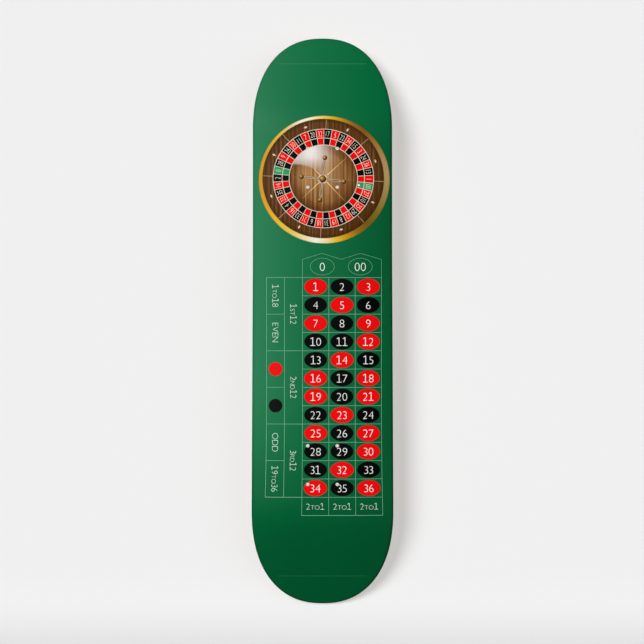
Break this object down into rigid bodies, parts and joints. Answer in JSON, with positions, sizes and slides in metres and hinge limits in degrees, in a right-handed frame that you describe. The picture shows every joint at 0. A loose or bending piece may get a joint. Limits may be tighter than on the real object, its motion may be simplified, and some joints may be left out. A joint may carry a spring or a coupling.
{
  "type": "skateboard deck",
  "caption": "Bare popsicle skateboard deck of pressed maple plies, kicked at both ends, with truck-bolt holes and a roulette table printed on its underside.",
  "frame": {"origin": "midway between the two trucks, on the centreline, on the flat of the riding face, at mount hanger_face", "axes": "+Z along the deck towards the tail, which is up in the display pose; +X across the deck, to the right seen from the printed underside; the printed underside faces -Y and the riding face, with the rails and both kicks rising, faces +Y"},
  "size_m": [0.199, 0.0571, 0.8002],
  "materials": {
    "printed_film": "heat-transferred film under a satin clear coat, green ground with a printed roulette table",
    "face_maple": "pale maple face veneer, grain along the deck, thin clear lacquer",
    "long_maple": "maple veneer, grain along the deck, seen only as a line at the edge and in the holes",
    "cross_maple": "maple cross band, end grain a little darker at the edge"
  },
  "bodies": {
    "root": {"graphic_film": "printed_film", "ply_1_bottom_face": "face_maple", "ply_2_long": "long_maple", "ply_3_cross": "cross_maple", "ply_4_core": "long_maple", "ply_5_cross": "cross_maple", "ply_6_long": "long_maple", "ply_7_top_face": "face_maple"}
  },
  "joints": []
}
